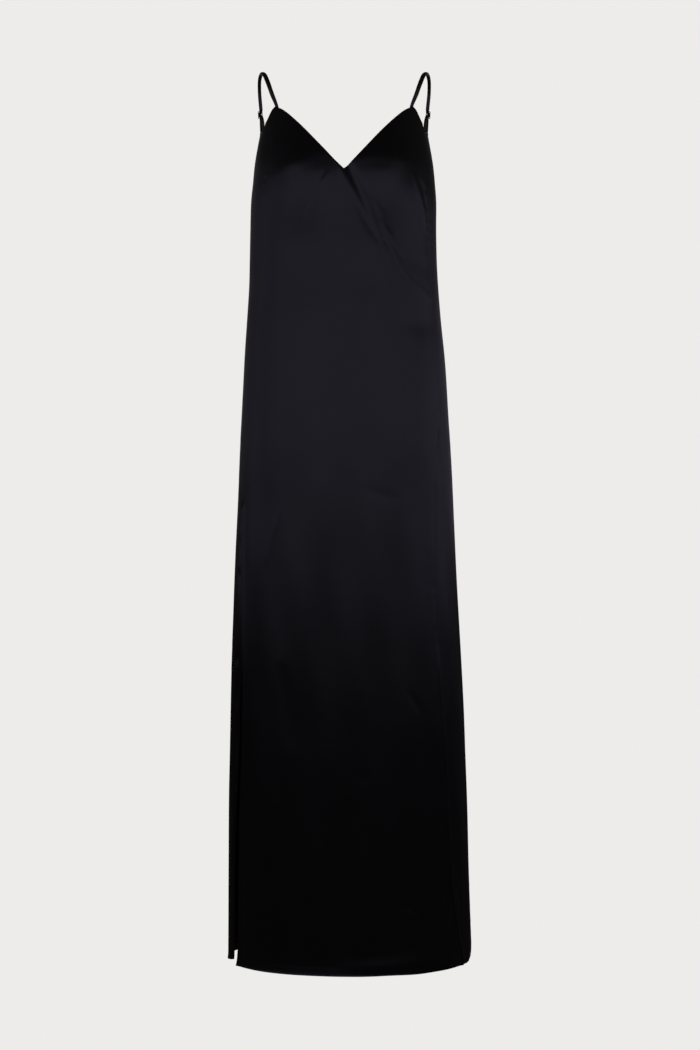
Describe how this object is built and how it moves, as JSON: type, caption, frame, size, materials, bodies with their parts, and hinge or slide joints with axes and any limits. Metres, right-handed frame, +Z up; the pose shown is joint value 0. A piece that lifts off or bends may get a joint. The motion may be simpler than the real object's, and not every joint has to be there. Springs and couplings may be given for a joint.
{
  "type": "slip dress",
  "caption": "Long satin slip dress with a V neck, thin adjustable straps and a side slit, in its worn hollow form.",
  "frame": {"origin": "midway between the two straps, level with the undersides of their tops, where the wearer's shoulders carry the dress", "axes": "+X towards the wearer's left, -Y out of the front, +Z up; the side seams' widest line lies 15 mm behind the origin"},
  "size_m": [0.3776, 0.2769, 1.373],
  "materials": {
    "satin": "black polyester satin, soft even gloss on the face, duller inside",
    "strap_satin": "the same black satin turned into a narrow rouleau and pressed flat",
    "strap_metal": "black enamel on small pressed metal, glossy"
  },
  "bodies": {
    "root": {"front_panel": "satin", "back_panel": "satin", "strap_left": "strap_satin", "strap_right": "strap_satin", "ring_tab_left": "strap_satin", "ring_tab_right": "strap_satin", "slider_left": "strap_metal", "slider_right": "strap_metal", "ring_left": "strap_metal", "ring_right": "strap_metal"}
  },
  "joints": []
}
